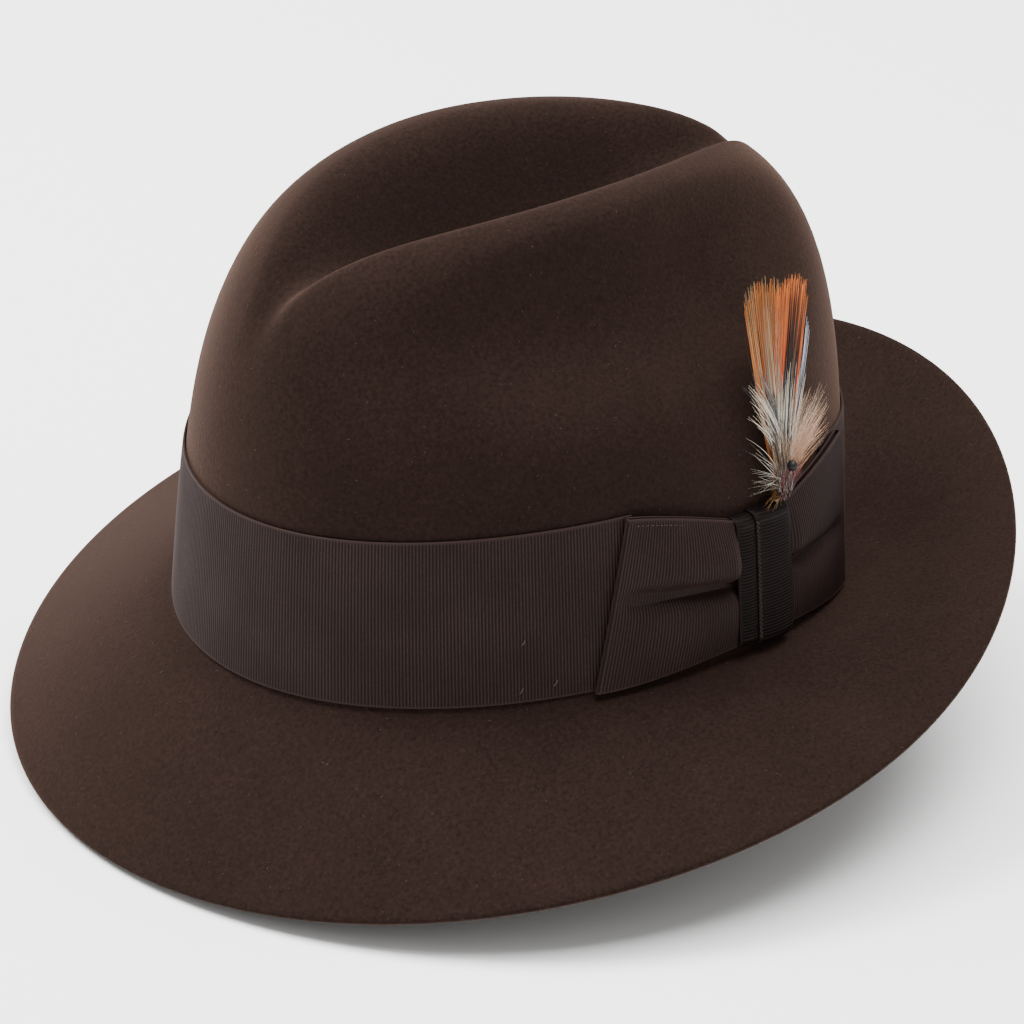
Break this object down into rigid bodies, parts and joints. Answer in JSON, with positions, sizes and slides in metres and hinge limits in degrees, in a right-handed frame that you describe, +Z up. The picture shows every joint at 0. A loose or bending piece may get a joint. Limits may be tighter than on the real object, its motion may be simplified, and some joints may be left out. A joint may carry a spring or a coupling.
{
  "type": "fedora hat",
  "caption": "Blocked felt hat with creased crown, curved snap brim, wide ribbed ribbon with a flat side bow, leather sweatband, satin lining and a tucked feather.",
  "frame": {"origin": "centre of the head opening, at the height where the crown meets the brim", "axes": "+X to the front of the hat, +Y to the wearer's left, +Z up through the crown"},
  "size_m": [0.2972, 0.2736, 0.1724],
  "materials": {
    "felt": "dark brown blocked fur felt, fine nap",
    "ribbon": "dark grey-brown ribbed grosgrain, low sheen",
    "thread_dark": "dark cotton thread",
    "leather": "tan roan leather, satin",
    "reed": "extruded plastic reed",
    "tape": "black woven tape",
    "thread_light": "waxed thread",
    "lining": "brown satin, sheen",
    "piping": "corded satin piping",
    "clear_cover": "clear vinyl film",
    "quill": "natural quill, horn-like",
    "binding": "thread binding",
    "hackle_orange": "orange and straw hackle, dark stripes",
    "hackle_cream": "cream and grey hackle",
    "fluff": "tan marabou fluff",
    "tuft": "red feather tuft",
    "bead": "small black bead, gloss"
  },
  "bodies": {
    "hat": {"felt_body": "felt", "ribbon_band": "ribbon", "ribbon_tacks": "thread_dark", "bow_backing": "ribbon", "bow_front_wing": "ribbon", "bow_rear_wing": "ribbon", "knot_front_strip": "ribbon", "knot_rear_strip": "ribbon", "bow_stitches": "thread_dark", "sweatband": "leather", "sweatband_reed": "reed", "reed_tape": "tape", "sweatband_stitch": "thread_light", "sweatband_seam_tape": "leather", "sweatband_bow": "tape", "lining_side": "lining", "lining_tip": "lining", "lining_piping": "piping", "tip_cover": "clear_cover"},
    "snap_brim": {"front_brim": "felt"},
    "feather": {"feather_quill": "quill", "feather_binding": "binding", "hackle_orange": "hackle_orange", "hackle_cream": "hackle_cream", "feather_fluff": "fluff", "red_tuft": "tuft", "feather_bead": "bead"}
  },
  "joints": [
    {"name": "brim_snap", "type": "hinge", "parent": "hat", "child": "snap_brim", "pos_m": [0.1129, 0, -0.00994], "axis": [0, -1, 0], "range_deg": [0, 50]},
    {"name": "feather_slide", "type": "slide", "parent": "hat", "child": "feather", "axis": [0.019, -0.1277, 0.9916], "range_m": [0, 0.018]}
  ]
}
